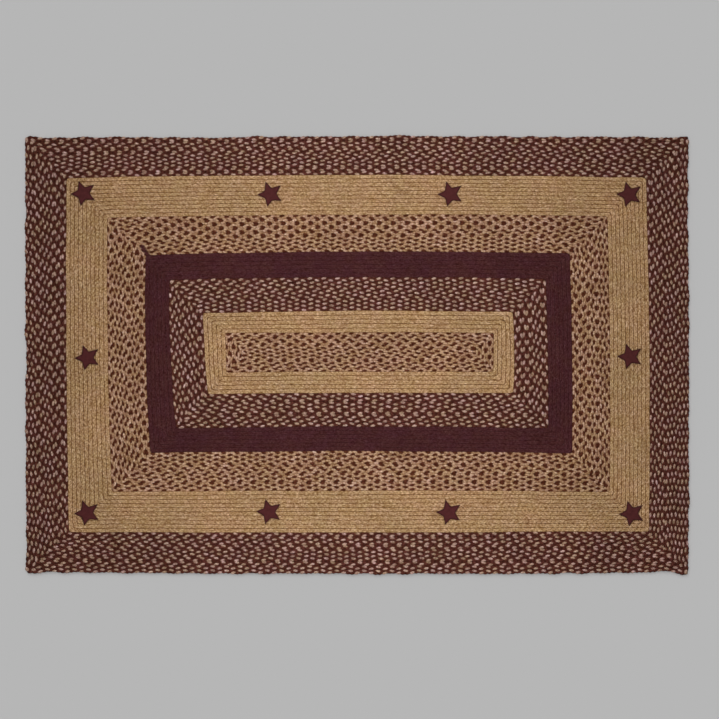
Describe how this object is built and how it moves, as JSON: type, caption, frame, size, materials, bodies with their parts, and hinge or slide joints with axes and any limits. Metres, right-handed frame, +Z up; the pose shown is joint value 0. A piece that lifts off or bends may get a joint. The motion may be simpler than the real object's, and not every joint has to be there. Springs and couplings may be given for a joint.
{
  "type": "braided rug",
  "caption": "Flat rectangular rug of braid laid in mitred rounds, with coloured bands and sewn stars, for covering a floor.",
  "frame": {"origin": "under the middle of the rug's outline, on the plane of its underside", "axes": "+X along the long side, +Y along the short side, +Z up out of the side with the stars"},
  "size_m": [1.8296, 1.206, 0.0109],
  "materials": {
    "burgundy_fleck_braid": "burgundy jute braid with one tan strand in three, matt",
    "natural_braid": "undyed jute braid, matt",
    "tan_fleck_braid": "tan jute braid with one burgundy strand in three, matt",
    "burgundy_braid": "dyed burgundy jute braid, matt",
    "star_felt": "dyed felt, matt, sewn flat"
  },
  "bodies": {
    "root": {"outer_border": "burgundy_fleck_braid", "wide_natural": "natural_braid", "tan_fleck": "tan_fleck_braid", "solid_burgundy": "burgundy_braid", "burgundy_fleck": "burgundy_fleck_braid", "narrow_natural": "natural_braid", "centre_panel": "tan_fleck_braid", "star_top_left": "star_felt", "star_top_mid_left": "star_felt", "star_top_mid_right": "star_felt", "star_top_right": "star_felt", "star_left": "star_felt", "star_right": "star_felt", "star_bottom_left": "star_felt", "star_bottom_mid_left": "star_felt", "star_bottom_mid_right": "star_felt", "star_bottom_right": "star_felt"}
  },
  "joints": []
}
